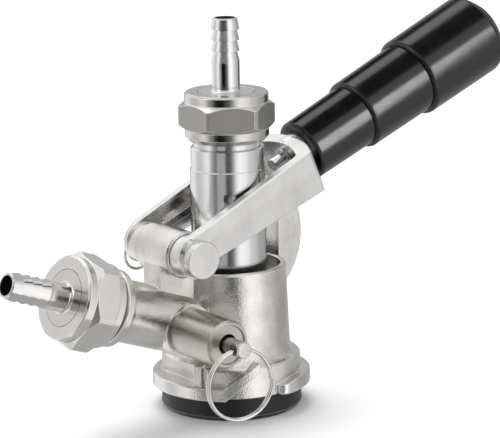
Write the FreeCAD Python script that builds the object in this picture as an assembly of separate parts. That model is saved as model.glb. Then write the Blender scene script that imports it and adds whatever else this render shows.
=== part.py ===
import FreeCAD, Part
import math
import os

os.makedirs("parts", exist_ok=True)
Vec = FreeCAD.Vector
X_AXIS = Vec(1, 0, 0)
Y_AXIS = Vec(0, 1, 0)
Z_AXIS = Vec(0, 0, 1)

# Sizes are in millimetres, and the origin is the centre of the rubber seal's lower face.
# +Z runs up the probe, +X points at the handle and the gas inlet leaves towards -X.

# Clearances
slide_play = 0.07
seat_play = 0.05
side_gap = 0.3

# Pipe thread and union nut, drawn as plain cylinders
thread_r = 11.46
nut_flats = 27.5
nut_corner_r = 15.5
nut_hex_bevel = 1.5
nut_length = 15.8
nut_back_collar = 3.9
nut_front_collar = 3.1
nut_collar_r = 13.5
nut_back_chamfer = 1.6
nut_mouth_r = 11.95
nut_face_wall = 2.3
neck_in_nut = 8.6
washer_thick = 2.4
washer_bore_r = 4.4
beer_hex_turn_deg = 30.0
gas_hex_turn_deg = 17.0

# Hose tail for 5/16 inch line
beer_tail_length = 23.5
gas_tail_length = 21.8
tail_shoulder_r = 9.0
tail_stem_r = 4.5
tail_bore_r = 3.2
tail_tip_r = 3.98
tail_tip_cone = 3.6
tail_root_fillet = 1.1
barb_ridge_r = 4.55
barb_valley_r = 3.75
barb_pitch = 3.45
barb_count = 4

# Rubber body seal
seal_r = 22.8
seal_bore_r = 14.8
seal_height = 7.2
seal_edge = 1.2
seal_key_in_r = 17.5
seal_key_out_r = 20.0
seal_key_height = 2.0

# Body casting
drum_r = 22.6
drum_top_z = 17.4
drum_flat_x = -18.9
flare_r = 19.2
flare_z = 21.6
wall_top_r = 18.3
rim_z = 47.0
rim_edge = 0.6
recess_r = 16.4
recess_floor_z = 41.0
guide_bottom_z = 31.5
chamber_r = 16.2
chamber_cone = 2.0

# Bayonet lugs on the body, two half a turn apart
lug_out_r = 25.7
lug_flat_thick = 4.4
lug_start_deg = 92.5
lug_flat_deg = 135.5
lug_ramp_deg = 26.0
lug_ramp_rise = 9.5
lug_ramp_thick = 2.9
lug_edge_round = 0.6
lug_nose_r = 2.8
lug_nose_drop = 1.3
lug_nose_deg = 16.0
stop_rib_deg = 206.0
stop_rib_out_r = 24.0
stop_rib_half = 1.3
stop_rib_top_z = 18.0

# Gas inlet, measured along its own tilted axis from the probe's axis
gas_axis_z = 22.7
gas_tilt_deg = 20.0
gas_tube_r = 10.0
gas_collar_r = 12.4
gas_collar_length = 2.6
gas_nut_back = 52.6
gas_bore_r = 4.0
gas_valve_bore_r = 8.3
gas_valve_depth = 15.0
gas_valve_flange_r = 9.5
gas_valve_flange = 1.5
gas_valve_wall = 1.3

# Relief valve, measured outwards from the middle plane
relief_x = -23.9
relief_z = 30.0
relief_boss_r = 8.8
relief_boss_end = 10.0
relief_flat = 7.9
relief_thread_r = 6.6
relief_seat = 4.5
relief_port_r = 2.2
relief_barrel_r = 7.7
relief_face = 30.8
relief_lip_width = 1.4
relief_lip_depth = 0.6
relief_front_wall = 3.0
relief_mouth_r = 3.4
relief_cavity_r = 5.3
relief_stem_r = 2.6
relief_stem_end = 38.9
relief_disc_thick = 2.1
relief_rubber_thick = 1.3
relief_tip_half = 2.3
relief_tip_length = 6.4
relief_eye_r = 1.9
relief_eye_inset = 2.8
relief_spring_r = 4.0
spring_wire_r = 0.45
relief_spring_turns = 6

# Pull ring, two turns of wire
ring_mid_r = 11.2
ring_wire_r = 0.5
ring_turns = 2
ring_drop = 0.3
ring_turn_deg = 8.0

# Hinge
hinge_x = -23.9
hinge_z = 54.7
knuckle_r = 7.6
knuckle_half = 9.2
knuckle_edge = 0.7
pin_r = 3.0
pin_head_r = 6.06
pin_head_thick = 2.7
pin_tail = 3.0
pin_eye_r = 1.1
pin_eye_inset = 1.7
pin_edge = 0.35
pin_ring_r = 4.9
web_half = 4.5
web_back_x = -30.8
web_front_x = -17.6

# Quadrant fin that the plunger runs over
fin_half = 5.0
fin_inner_x = 16.45
fin_bottom_z = 38.0
fin_centre_x = 2.5
fin_r = 23.3
fin_rise = 0.7725 * fin_r
fin_top_z = hinge_z + fin_rise
fin_tip_round = 1.5
fin_track_half = 3.3

# Probe
probe_r = 12.15
probe_waist_r = 9.6
probe_bore_r = 5.0
probe_tip_z = 9.6
probe_flange_r = 9.0
probe_flange_thick = 1.4
probe_spigot_r = 8.0
probe_shoulder_z = 15.0
probe_shoulder_r = 11.5
probe_waist_z = 17.5
probe_step_z = 78.6
probe_nut_z = 87.3
probe_collar_r = 11.85
probe_collar_top_z = 85.6
probe_relief_r = 10.9
probe_edge = 0.5
ball_chamber_r = 7.3
ball_r = 5.6
ball_lift = 1.8
ball_stop_thick = 1.4
ball_stop_hole_r = 1.9
tip_seal_r = 12.8
tip_seal_lip = 0.6
tip_seal_edge = 0.5
gland_ring_r = 1.3
gland_ring_pitch = 4.6
gland_groove_room = 0.2

# Lever, measured along (s) and across (t) its own line, which rises from the hinge
lever_rise_deg = 22.0
fork_half = 16.2
fork_inner_half = 13.4
fork_eye_r = 6.4
fork_eye_t = 1.2
fork_top_start = 7.6
fork_top_end = 9.6
fork_bottom_s = 6.7
fork_bottom_start = -3.9
fork_bottom_end = -5.7
fork_corner_s = 52.7
fork_corner_round = 2.2
fork_apex_s = 57.8
fork_inner_apex_s = 52.8
fork_inner_corner_s = 49.6
fork_inner_corner_y = 11.4
fork_inner_straight_s = 46.3
fork_ridge_t = 3.3
fork_lower_lean = 0.5
fork_edge_round = 0.8
fork_arm_edge = 0.4
fork_eye_bevel = 1.2
fork_boss_r = 6.6
pocket_depth = 1.3
pocket_start_s = 9.5
pocket_end_s = 44.0
pocket_bottom_t = 2.2
pocket_lip = 1.4
rib_half_in = 12.6
rib_bottom_t = -0.3
lug_s = 26.4
lug_t = 1.5
drive_lug_r = 5.2
drive_lug_in = 9.1
slot_floor = 8.8
slot_play = 0.45

# Plunger and handle, along the same lever line
grip_t = 2.45
rod_t = 4.2
rod_r = 2.2
rod_tip_s = 46.8
rod_tip_edge = 0.3
track_gap = 0.3
bush_flange_r = 3.6
bush_flange = 1.4
bush_r = 3.1
neck_r = 5.7
neck_end_s = 74.0
neck_bore_r = 4.2
neck_floor_s = 60.0
collar_thick = 1.5
collar_gap = 0.3
plug_depth = 2.0
plug_flange = 1.4
plug_flange_r = 5.4
handle_spring_r = 3.2
handle_spring_turns = 5
insert_r = 4.6
insert_gap = 6.0
insert_s = neck_end_s + insert_gap
insert_length = 16.0
rod_in_insert = 12.0
grip_start_s = 59.3
grip_end_s = 142.6
tier_1_r = 10.45
tier_2_r = 12.1
tier_3_r = 13.9
tier_draft = 0.4
tier_2_s = 83.2
tier_3_s = 109.4
grip_shoulder = 1.5
grip_mouth_edge = 1.0
grip_end_round = 2.6
grip_core_r = 9.8
grip_core_s = 98.0
cap_r = 11.3
cap_thick = 2.6
cap_proud = 1.8
cap_dome = 0.8
cap_edge = 0.7

# Places worked out from the sizes above
gas_tilt = math.radians(gas_tilt_deg)
gas_line = Vec(-math.cos(gas_tilt), 0, math.sin(gas_tilt))
gas_start = Vec(0, 0, gas_axis_z)
lever_rise = math.radians(lever_rise_deg)
guide_r = probe_r + slide_play
washer_r = thread_r - 0.3
nut_bore_r = thread_r + slide_play
relief_start = Vec(relief_x, 0, relief_z)
ball_stop_z = probe_nut_z + neck_in_nut - ball_stop_thick
ball_centre_z = ball_stop_z - ball_lift - seat_play - ball_r
ball_seat_z = ball_centre_z - seat_play - math.sqrt((ball_r + seat_play) ** 2 - probe_bore_r ** 2)
drive_lug_z = hinge_z + lug_s * math.sin(lever_rise) + lug_t * math.cos(lever_rise)
slot_half = drive_lug_r + slot_play
lug_track_r = rod_tip_s - track_gap


# Closed flat face; two numbers are a straight run to that point, four an arc through a point to an end
def face_of(path, place):
    edges = []
    here = path[0]
    for step in path[1:] + [path[0]]:
        end = step[-2:]
        if len(step) == 4:
            edges.append(Part.Arc(place(here), place(step[:2]), place(end)).toShape())
        elif here != end:
            edges.append(Part.makeLine(place(here), place(end)))
        here = end
    return Part.Face(Part.Wire(edges))


# Solid turned about Z from a path of (radius, height)
def turned(path, angle=360):
    face = face_of(path, lambda p: Vec(p[0], 0, p[1]))
    return face.revolve(Vec(0, 0, 0), Z_AXIS, angle)


# Solid cut from a side view path of (x, z) and running from y_low to y_high
def side_plate(path, y_low, y_high):
    face = face_of(path, lambda p: Vec(p[0], y_low, p[1]))
    return face.extrude(Vec(0, y_high - y_low, 0))


# Solid cut from a plan view path of (x, y) and running from z_low to z_high
def plan_plate(path, z_low, z_high):
    face = face_of(path, lambda p: Vec(p[0], p[1], z_low))
    return face.extrude(Vec(0, 0, z_high - z_low))


# Solid cut from an end view path of (y, z) and running from x_low to x_high
def end_plate(path, x_low, x_high):
    face = face_of(path, lambda p: Vec(x_low, p[0], p[1]))
    return face.extrude(Vec(x_high - x_low, 0, 0))


# Round bar between two heights of a line
def bar(radius, low, high, start=Vec(0, 0, 0), line=Z_AXIS):
    return Part.makeCylinder(radius, high - low, start + line * low, line)


# Moves a solid drawn about Z onto a line that leaves start
def onto(shape, start, line):
    placed = shape.copy()
    move = FreeCAD.Placement(start, FreeCAD.Rotation(Z_AXIS, line))
    placed.Placement = move.multiply(placed.Placement)
    return placed


# Moves a solid drawn in lever coordinates (s, y, t) to its place on the hinge
def on_lever(shape):
    placed = shape.copy()
    move = FreeCAD.Placement(Vec(hinge_x, 0, hinge_z), FreeCAD.Rotation(Y_AXIS, -lever_rise_deg))
    placed.Placement = move.multiply(placed.Placement)
    return placed


# Solid turned about the rod's line, from a path of (radius, s)
def on_rod_line(path, t=rod_t):
    return onto(turned(path), Vec(0, 0, t), X_AXIS)


# Wire coil about Z from low to high
def coil(radius, wire_r, low, high, turns):
    pitch = (high - low - 2 * wire_r) / turns
    spine = Part.makeLongHelix(pitch, pitch * turns, radius)
    spine.translate(Vec(0, 0, low + wire_r))
    rise = Vec(0, 2 * math.pi * radius, pitch)
    section = Part.Wire(Part.makeCircle(wire_r, Vec(radius, 0, low + wire_r), rise))
    return Part.Wire(spine.Edges).makePipeShell([section], True, True)


def save(name, shape):
    clean = shape.removeSplitter()
    solids = clean.Solids
    solid = solids[0] if len(solids) == 1 else Part.makeCompound(solids)
    solid.exportStep("parts/" + name + ".step")
    print(name, len(solids), solid.isValid(), round(solid.Volume, 1))
    return solid


# Body seal
def make_body_seal():
    top = seal_height
    key_top = top + seal_key_height
    path = [
        (seal_bore_r, 0), (seal_r - 0.8, 0), (seal_r, seal_edge), (seal_r, top),
        (seal_key_out_r, top), (seal_key_out_r, key_top), (seal_key_in_r, key_top),
        (seal_key_in_r, top), (seal_bore_r, top),
    ]
    return turned(path)


# Sector of a ring about Z
def ring_sector(r_in, r_out, z_low, z_high, start_deg, sweep_deg):
    sector = turned([(r_in, z_low), (r_out, z_low), (r_out, z_high), (r_in, z_high)], sweep_deg)
    sector.rotate(Vec(0, 0, 0), Z_AXIS, start_deg)
    return sector


# Rounds the upper and lower edges of a lug's outer wall
def round_rim(lug):
    rim = [
        edge for edge in lug.Edges
        if all(abs(math.hypot(v.X, v.Y) - lug_out_r) < 0.01 for v in edge.Vertexes)
        and edge.BoundBox.XLength > lug_out_r / 2
    ]
    return lug.makeFillet(lug_edge_round, rim)


# One bayonet lug: a flat run with a rounded nose, then a ramp that climbs to its end
def make_bayonet_lug(start_deg):
    low = seal_height
    high = low + lug_flat_thick
    inner_r = drum_r - 2.5
    flat = ring_sector(inner_r, lug_out_r, low, high, start_deg, lug_flat_deg)
    nose_angle = math.radians(start_deg)
    nose_at = Vec(lug_out_r * math.cos(nose_angle), lug_out_r * math.sin(nose_angle), 0)
    nose = [
        edge for edge in flat.Edges
        if all(math.hypot(v.X - nose_at.x, v.Y - nose_at.y) < 0.01 for v in edge.Vertexes)
    ]
    flat = round_rim(flat.makeFillet(lug_nose_r, nose))
    half = lug_out_r * math.sin(math.radians(lug_nose_deg / 2))
    wedge = end_plate(
        [(-half, high - lug_nose_drop), (half, high), (half, high + 1), (-half, high + 1)],
        inner_r / 2, lug_out_r + 1,
    )
    wedge.rotate(Vec(0, 0, 0), Z_AXIS, start_deg + lug_nose_deg / 2)
    flat = flat.cut(wedge)
    ramp_start = start_deg + lug_flat_deg
    reach = lug_out_r * math.sin(math.radians(lug_ramp_deg / 2))
    end_low = low + lug_ramp_rise
    slope = end_plate(
        [(-reach, low), (reach, end_low), (reach, end_low + lug_ramp_thick), (-reach, high)],
        inner_r / 2, lug_out_r + 1,
    )
    slope.rotate(Vec(0, 0, 0), Z_AXIS, ramp_start + lug_ramp_deg / 2)
    sector = ring_sector(inner_r, lug_out_r, low, end_low + lug_ramp_thick, ramp_start, lug_ramp_deg)
    return flat.fuse(slope.common(sector))


# Outer mass of the drum, the flare and the tapering wall
def make_body_mass():
    path = [
        (0, seal_height), (drum_r, seal_height), (drum_r, drum_top_z - 1.4),
        (drum_r - 0.35, drum_top_z - 0.5, drum_r - 1.0, drum_top_z),
        (flare_r + 0.7, drum_top_z + 1.6, flare_r, flare_z),
        (wall_top_r, rim_z - rim_edge), (wall_top_r - rim_edge, rim_z), (0, rim_z),
    ]
    mass = turned(path)
    cut_depth = drum_r + drum_flat_x + 1
    under_tube = Part.makeBox(cut_depth, 2 * drum_r, drum_top_z - seal_height - lug_flat_thick)
    under_tube.translate(Vec(drum_flat_x - cut_depth, -drum_r, seal_height + lug_flat_thick))
    return mass.cut(under_tube)


# Space inside the body: seal key, gas chamber, probe guide with its two ring grooves, and the recess
def make_body_core():
    core = turned([
        (0, seal_height - 1), (chamber_r, seal_height - 1), (chamber_r, guide_bottom_z - chamber_cone),
        (guide_r, guide_bottom_z), (guide_r, recess_floor_z), (recess_r, recess_floor_z),
        (recess_r, rim_z - rim_edge / 2), (recess_r + rim_edge / 2, rim_z), (0, rim_z + 1e-3),
    ])
    key = ring_sector(
        seal_key_in_r - seat_play, seal_key_out_r + seat_play,
        seal_height - 1, seal_height + seal_key_height + seat_play, 0, 360,
    )
    core = core.fuse(key)
    for z in gland_ring_heights():
        half = gland_ring_r + gland_groove_room
        out_r = guide_r + 2 * gland_ring_r + gland_groove_room
        core = core.fuse(ring_sector(guide_r - 1, out_r, z - half, z + half, 0, 360))
    return core


# Heights of the two rings that seal the probe in its guide
def gland_ring_heights():
    middle = (guide_bottom_z + recess_floor_z) / 2
    return [middle - gland_ring_pitch / 2, middle + gland_ring_pitch / 2]


# Gas inlet: cast tube, collar and threaded neck about the tilted line
def make_gas_tube():
    collar_end = gas_nut_back - side_gap
    collar_start = collar_end - gas_collar_length
    neck_end = gas_nut_back + neck_in_nut
    rise = gas_collar_r - gas_tube_r
    path = [
        (0, 0), (gas_tube_r, 0), (gas_tube_r, collar_start - rise),
        (gas_tube_r + 0.3 * rise, collar_start - 0.3 * rise, gas_collar_r, collar_start),
        (gas_collar_r, collar_end - 0.4), (gas_collar_r - 0.4, collar_end), (thread_r, collar_end),
        (thread_r, neck_end - 0.6), (thread_r - 0.6, neck_end), (0, neck_end),
    ]
    return onto(turned(path), gas_start, gas_line)


# Gas way with the pocket that holds the check valve
def make_gas_way():
    neck_end = gas_nut_back + neck_in_nut
    way = turned([
        (0, 0), (gas_bore_r, 0), (gas_bore_r, neck_end - gas_valve_depth),
        (gas_valve_bore_r, neck_end - gas_valve_depth), (gas_valve_bore_r, neck_end - gas_valve_flange),
        (gas_valve_flange_r, neck_end - gas_valve_flange), (gas_valve_flange_r, neck_end + 1),
        (0, neck_end + 1),
    ])
    return onto(way, gas_start, gas_line)


# Cast boss of the relief valve, with a flat above and below
def make_relief_boss():
    boss = bar(relief_boss_r, 0, relief_boss_end)
    flats = Part.makeBox(2 * relief_boss_r, 2 * relief_flat, relief_boss_end)
    flats.translate(Vec(-relief_boss_r, -relief_flat, 0))
    flats.rotate(Vec(0, 0, 0), Z_AXIS, gas_tilt_deg)
    return onto(boss.common(flats), relief_start, -Y_AXIS)


# Threaded hole of the relief valve and its port into the gas way
def make_relief_way():
    port = bar(relief_port_r, 0, relief_seat)
    hole = bar(relief_thread_r, relief_seat, relief_boss_end + 1)
    return onto(port.fuse(hole), relief_start, -Y_AXIS)


# Hinge knuckle and the web that carries it
def make_hinge_stand():
    edge = knuckle_edge
    half = knuckle_half
    barrel = onto(turned([
        (0, -half), (knuckle_r - edge, -half), (knuckle_r, edge - half),
        (knuckle_r, half - edge), (knuckle_r - edge, half), (0, half),
    ]), Vec(hinge_x, 0, hinge_z), Y_AXIS)
    foot_z = gas_axis_z - web_back_x * math.tan(gas_tilt)
    web = side_plate([
        (web_front_x, gas_axis_z), (web_front_x, hinge_z), (web_back_x, hinge_z),
        (web_back_x, foot_z),
    ], -web_half, web_half)
    return barrel.fuse(web)


# Quadrant fin; its outer edge has a track at a constant distance from the hinge for the plunger's tip
def make_fin():
    top_x = fin_centre_x + math.sqrt(fin_r ** 2 - fin_rise ** 2)
    low_x = fin_centre_x + math.sqrt(fin_r ** 2 - (hinge_z - fin_bottom_z) ** 2)
    fin = side_plate([
        (fin_inner_x, fin_bottom_z), (fin_inner_x, fin_top_z - fin_tip_round),
        (fin_inner_x + fin_tip_round * 0.2, fin_top_z - fin_tip_round * 0.4, top_x, fin_top_z),
        (fin_centre_x + fin_r, hinge_z, low_x, fin_bottom_z),
    ], -fin_half, fin_half)
    outer = bar(lug_track_r + 20, -fin_track_half, fin_track_half, Vec(hinge_x, 0, hinge_z), Y_AXIS)
    inner = bar(lug_track_r, -fin_half, fin_half, Vec(hinge_x, 0, hinge_z), Y_AXIS)
    track_low = rim_z - 5
    above_wall = Part.makeBox(2 * fin_r, 2 * fin_half, fin_top_z - track_low + 1)
    above_wall.translate(Vec(0, -fin_half, track_low))
    return fin.cut(outer.cut(inner).common(above_wall))


def make_body_casting():
    body = make_body_mass()
    for turn in (0, 180):
        body = body.fuse(make_bayonet_lug(lug_start_deg + turn))
        rib = Part.makeBox(4, 2 * stop_rib_half, stop_rib_top_z - seal_height - 1)
        rib.translate(Vec(stop_rib_out_r - 4, -stop_rib_half, seal_height + 1))
        rib.rotate(Vec(0, 0, 0), Z_AXIS, stop_rib_deg + turn)
        body = body.fuse(rib)
    body = body.fuse([make_gas_tube(), make_relief_boss(), make_hinge_stand(), make_fin()])
    pin_hole = bar(pin_r + slide_play, -fork_half - 1, fork_half + 1, Vec(hinge_x, 0, hinge_z), Y_AXIS)
    above_rim = bar(recess_r, rim_z - 1, fin_top_z + 1)
    return body.cut([make_body_core(), make_gas_way(), make_relief_way(), pin_hole, above_rim])


# Two rubber rings in the guide
def make_gland_rings():
    mid_r = probe_r + slide_play + gland_ring_r
    return Part.makeCompound([
        Part.makeTorus(mid_r, gland_ring_r, Vec(0, 0, z)) for z in gland_ring_heights()
    ])


# Duckbill check valve in the gas neck: a flanged tube that narrows to two flat lips
def make_gas_check_valve():
    top = gas_nut_back + neck_in_nut
    low = top - gas_valve_depth + 1.5
    mid = top - gas_valve_depth / 2
    out_r = gas_valve_bore_r - seat_play
    tube = turned([
        (0, mid), (out_r - 1, mid), (out_r, mid + 1), (out_r, top - gas_valve_flange),
        (gas_valve_flange_r - seat_play, top - gas_valve_flange), (gas_valve_flange_r - seat_play, top),
        (0, top),
    ])
    round_end = Part.Wire(Part.makeCircle(out_r - 1.2, Vec(0, 0, mid)))
    lips = Part.makePolygon([
        Vec(-5, -0.8, low), Vec(5, -0.8, low), Vec(5, 0.8, low), Vec(-5, 0.8, low), Vec(-5, -0.8, low),
    ])
    bill = Part.makeLoft([lips, round_end], True, True)
    hollow = bar(out_r - gas_valve_wall - 1, mid + 0.5, top + 1)
    valve = tube.fuse(bill).cut(hollow)
    return onto(valve, gas_start, gas_line)


# Union nut about Z with its back face at zero; turning the bar takes the hexagon's sharp corners off
def make_nut(hex_turn_deg):
    hex_low = nut_back_collar
    hex_high = nut_length - nut_front_collar
    sharp_r = nut_flats / math.sqrt(3)
    corners = []
    for k in range(6):
        angle = math.radians(hex_turn_deg + 60 * k)
        corners.append((sharp_r * math.cos(angle), sharp_r * math.sin(angle)))
    flat_r = nut_flats / 2 - 0.3
    envelope = turned([
        (0, hex_low), (flat_r, hex_low), (nut_corner_r, hex_low + nut_hex_bevel),
        (nut_corner_r, hex_high - nut_hex_bevel), (flat_r, hex_high), (0, hex_high),
    ])
    hexagon = plan_plate(corners, hex_low, hex_high).common(envelope)
    collars = turned([
        (0, 0), (nut_mouth_r, 0), (nut_collar_r, nut_back_chamfer), (nut_collar_r, nut_length - 0.6),
        (nut_collar_r - 0.6, nut_length), (0, nut_length),
    ])
    face_hole_r = tail_shoulder_r + 0.2
    way = turned([
        (0, -1), (nut_bore_r, -1), (nut_bore_r, nut_length - nut_face_wall),
        (face_hole_r, nut_length - nut_face_wall), (face_hole_r, nut_length + 1), (0, nut_length + 1),
    ])
    return hexagon.fuse(collars).cut(way)


# Hose tail about the nut's axis, with saw-tooth barbs
def make_tail(length):
    flange_high = nut_length - nut_face_wall - seat_play
    flange_low = neck_in_nut + washer_thick
    tip = nut_length + length
    path = [
        (tail_bore_r, flange_low), (washer_r, flange_low), (washer_r, flange_high),
        (tail_shoulder_r, flange_high), (tail_shoulder_r, nut_length),
        (tail_stem_r + tail_root_fillet, nut_length),
        (tail_stem_r + 0.3 * tail_root_fillet, nut_length + 0.3 * tail_root_fillet,
         tail_stem_r, nut_length + tail_root_fillet),
    ]
    first = tip - tail_tip_cone - (barb_count - 1) * barb_pitch
    path.append((tail_stem_r, first - 0.3))
    for k in range(barb_count):
        ridge = first + k * barb_pitch
        path.append((barb_ridge_r, ridge))
        if k < barb_count - 1:
            path.append((barb_valley_r, ridge + barb_pitch - 0.2))
    path.append((tail_tip_r, tip - 0.3))
    path.append((tail_tip_r - 0.3, tip))
    path.append((tail_bore_r, tip))
    return turned(path)


# Red sealing washer under the tail's flange
def make_washer():
    return ring_sector(washer_bore_r, washer_r, neck_in_nut, neck_in_nut + washer_thick, 0, 360)


# Probe: beer tube with seal seat, guide length, drive slots and threaded neck
def make_probe():
    neck_end = probe_nut_z + neck_in_nut
    spigot_low = probe_tip_z + probe_flange_thick
    path = [
        (probe_bore_r, probe_tip_z), (probe_flange_r, probe_tip_z), (probe_flange_r, spigot_low),
        (probe_spigot_r, spigot_low), (probe_spigot_r, probe_shoulder_z),
        (probe_shoulder_r, probe_shoulder_z), (probe_shoulder_r, probe_waist_z - 1),
        (probe_waist_r, probe_waist_z), (probe_waist_r, guide_bottom_z - 3),
        (probe_r, guide_bottom_z - 0.5), (probe_r, probe_step_z - 0.3),
        (probe_r - 0.3, probe_step_z), (probe_collar_r, probe_step_z),
        (probe_collar_r, probe_collar_top_z - probe_edge),
        (probe_collar_r - probe_edge, probe_collar_top_z), (probe_relief_r, probe_collar_top_z),
        (probe_relief_r, probe_nut_z + 0.6), (thread_r, probe_nut_z + 1.2),
        (thread_r, neck_end - 0.6), (thread_r - 0.6, neck_end), (ball_chamber_r, neck_end),
        (ball_chamber_r, ball_seat_z), (probe_bore_r, ball_seat_z),
    ]
    probe = turned(path)
    for side in (-1, 1):
        slot = Part.makeBox(3 * probe_r, probe_r, 2 * slot_half)
        y_low = slot_floor if side > 0 else -slot_floor - probe_r
        slot.translate(Vec(-1.5 * probe_r, y_low, drive_lug_z - slot_half))
        probe = probe.cut(slot)
    return probe


# Rubber seal that the probe's tip pushes into the keg valve
def make_tip_seal():
    low = probe_tip_z - tip_seal_lip
    high = probe_shoulder_z
    inner_low_r = probe_flange_r + seat_play
    inner_r = probe_spigot_r + seat_play
    flange_top = probe_tip_z + probe_flange_thick + seat_play
    return turned([
        (inner_low_r, low), (tip_seal_r - tip_seal_edge, low), (tip_seal_r, low + tip_seal_edge),
        (tip_seal_r, high - tip_seal_edge), (tip_seal_r - tip_seal_edge, high), (inner_r, high),
        (inner_r, flange_top), (inner_low_r, flange_top),
    ])


# Ball that stops beer running back, just clear of its seat
def make_check_ball():
    return Part.makeSphere(ball_r, Vec(0, 0, ball_centre_z))


# Pierced disc that keeps the ball in the neck
def make_ball_stop():
    high = ball_stop_z + ball_stop_thick
    disc = bar(ball_chamber_r - seat_play, ball_stop_z, high)
    hole_ring = ball_chamber_r - ball_stop_hole_r - 1.2
    for k in range(4):
        angle = math.radians(90 * k)
        at = Vec(hole_ring * math.cos(angle), hole_ring * math.sin(angle), 0)
        disc = disc.cut(bar(ball_stop_hole_r, high - 5, high + 5, at))
    return disc


# Relief valve barrel, screwed into the boss
def make_relief_barrel():
    shoulder = relief_boss_end + side_gap / 3
    inner_end = relief_seat + 1.0
    face = relief_face
    lip_in_r = relief_barrel_r - relief_lip_width
    front = face - relief_front_wall
    barrel = turned([
        (relief_cavity_r, inner_end), (relief_thread_r - seat_play, inner_end),
        (relief_thread_r - seat_play, shoulder), (relief_barrel_r, shoulder),
        (relief_barrel_r, face - 1.0), (relief_barrel_r - 0.6, face), (lip_in_r, face),
        (lip_in_r - 0.3, face - relief_lip_depth), (relief_mouth_r, face - relief_lip_depth),
        (relief_mouth_r, front), (relief_cavity_r, front),
    ])
    return onto(barrel, relief_start, -Y_AXIS)


# Pull stem with its valve disc inside and a flattened, drilled end outside
def make_relief_stem():
    disc_low = relief_seat + side_gap / 3 + relief_rubber_thick
    disc_r = relief_cavity_r - 0.2
    stem = turned([
        (0, disc_low), (disc_r, disc_low), (disc_r, disc_low + relief_disc_thick),
        (relief_stem_r, disc_low + relief_disc_thick), (relief_stem_r, relief_stem_end - 0.8),
        (relief_stem_r - 0.8, relief_stem_end), (0, relief_stem_end),
    ])
    for side in (-1, 1):
        flat = Part.makeBox(10, 20, relief_tip_length + 1)
        x_low = relief_tip_half if side > 0 else -relief_tip_half - 10
        flat.translate(Vec(x_low, -10, relief_stem_end - relief_tip_length))
        stem = stem.cut(flat)
    eye_at = relief_stem_end - relief_eye_inset
    stem = stem.cut(bar(relief_eye_r, -10, 10, Vec(0, 0, eye_at), X_AXIS))
    return onto(stem, relief_start, -Y_AXIS)


# Rubber face on the valve disc
def make_relief_rubber():
    low = relief_seat + side_gap / 3
    disc = bar(relief_cavity_r - 0.9, low, low + relief_rubber_thick)
    return onto(disc, relief_start, -Y_AXIS)


def make_relief_spring():
    low = relief_seat + side_gap / 3 + relief_rubber_thick + relief_disc_thick + 0.1
    high = relief_face - relief_front_wall - 0.1
    spring = coil(relief_spring_r, spring_wire_r, low, high, relief_spring_turns)
    return onto(spring, relief_start, -Y_AXIS)


# Pull ring that hangs in the stem's eye
def make_pull_ring():
    length = 2 * ring_wire_r * (ring_turns + 1) + 0.02
    ring = coil(ring_mid_r, ring_wire_r, -length / 2, length / 2, ring_turns)
    eye_at = relief_stem_end - relief_eye_inset
    ring = onto(ring, Vec(0, 0, -ring_mid_r - ring_drop), -Y_AXIS)
    ring.rotate(Vec(0, 0, 0), Z_AXIS, -ring_turn_deg)
    ring.translate(Vec(relief_x, -eye_at, relief_z))
    return ring


# Hinge pin with a flat head; its tail is drilled for the small ring
def make_hinge_pin():
    head_low = fork_half + 0.1
    tail_end = fork_half + pin_tail
    pin = turned([
        (0, -tail_end), (pin_r - pin_edge, -tail_end), (pin_r, pin_edge - tail_end), (pin_r, head_low),
        (pin_head_r, head_low), (pin_head_r, head_low + pin_head_thick - pin_edge),
        (pin_head_r - pin_edge, head_low + pin_head_thick), (0, head_low + pin_head_thick),
    ])
    eye = bar(pin_eye_r, -10, 10, Vec(0, 0, pin_eye_inset - tail_end), X_AXIS)
    return onto(pin.cut(eye), Vec(hinge_x, 0, hinge_z), -Y_AXIS)


# Small ring that keeps the hinge pin in; its curve is centred in the drilled eye
def make_pin_ring():
    eye_y = fork_half + pin_tail - pin_eye_inset
    bow = pin_ring_r - math.sqrt(pin_ring_r ** 2 - pin_r ** 2)
    centre = Vec(hinge_x, eye_y, hinge_z - pin_ring_r + bow / 2)
    return Part.makeTorus(pin_ring_r, ring_wire_r, centre, Y_AXIS)


# Bevel round the outer edge of one eye, on its hinge side
def eye_bevel(side):
    out_r = fork_eye_r + 1
    out_y = fork_half + 1
    ring = turned([
        (out_r - fork_eye_bevel - 2, out_y), (out_r, out_y), (out_r, out_y - fork_eye_bevel - 2),
    ])
    behind = Part.makeBox(2 * out_r, 2 * out_y, 4 * out_r, Vec(-2 * out_r, -out_y, -2 * out_r))
    return onto(ring, Vec(0, 0, fork_eye_t), Vec(0, side, 0)).common(behind)


# What comes off one front corner of the fork to round it between the arm and the bulged yoke
def fork_corner_cut(side):
    round_r = fork_corner_round
    bulge = fork_apex_s - fork_corner_s
    yoke_r = (fork_half ** 2 + bulge ** 2) / (2 * bulge)
    yoke_s = fork_apex_s - yoke_r
    centre_y = fork_half - round_r
    centre_s = yoke_s + math.sqrt((yoke_r - round_r) ** 2 - centre_y ** 2)
    grow = yoke_r / (yoke_r - round_r)
    out_s = yoke_s + (centre_s - yoke_s) * grow
    out_y = centre_y * grow
    middle = (math.pi / 2 + math.atan2(centre_y, centre_s - yoke_s)) / 2
    mid_s = centre_s + round_r * math.cos(middle)
    mid_y = centre_y + round_r * math.sin(middle)
    clear = fork_half + 3
    return plan_plate([
        (centre_s, side * fork_half), (mid_s, side * mid_y, out_s, side * out_y),
        (fork_apex_s + 1, side * out_y), (fork_apex_s + 1, side * clear),
        (centre_s, side * clear),
    ], -20, 20)


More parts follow.
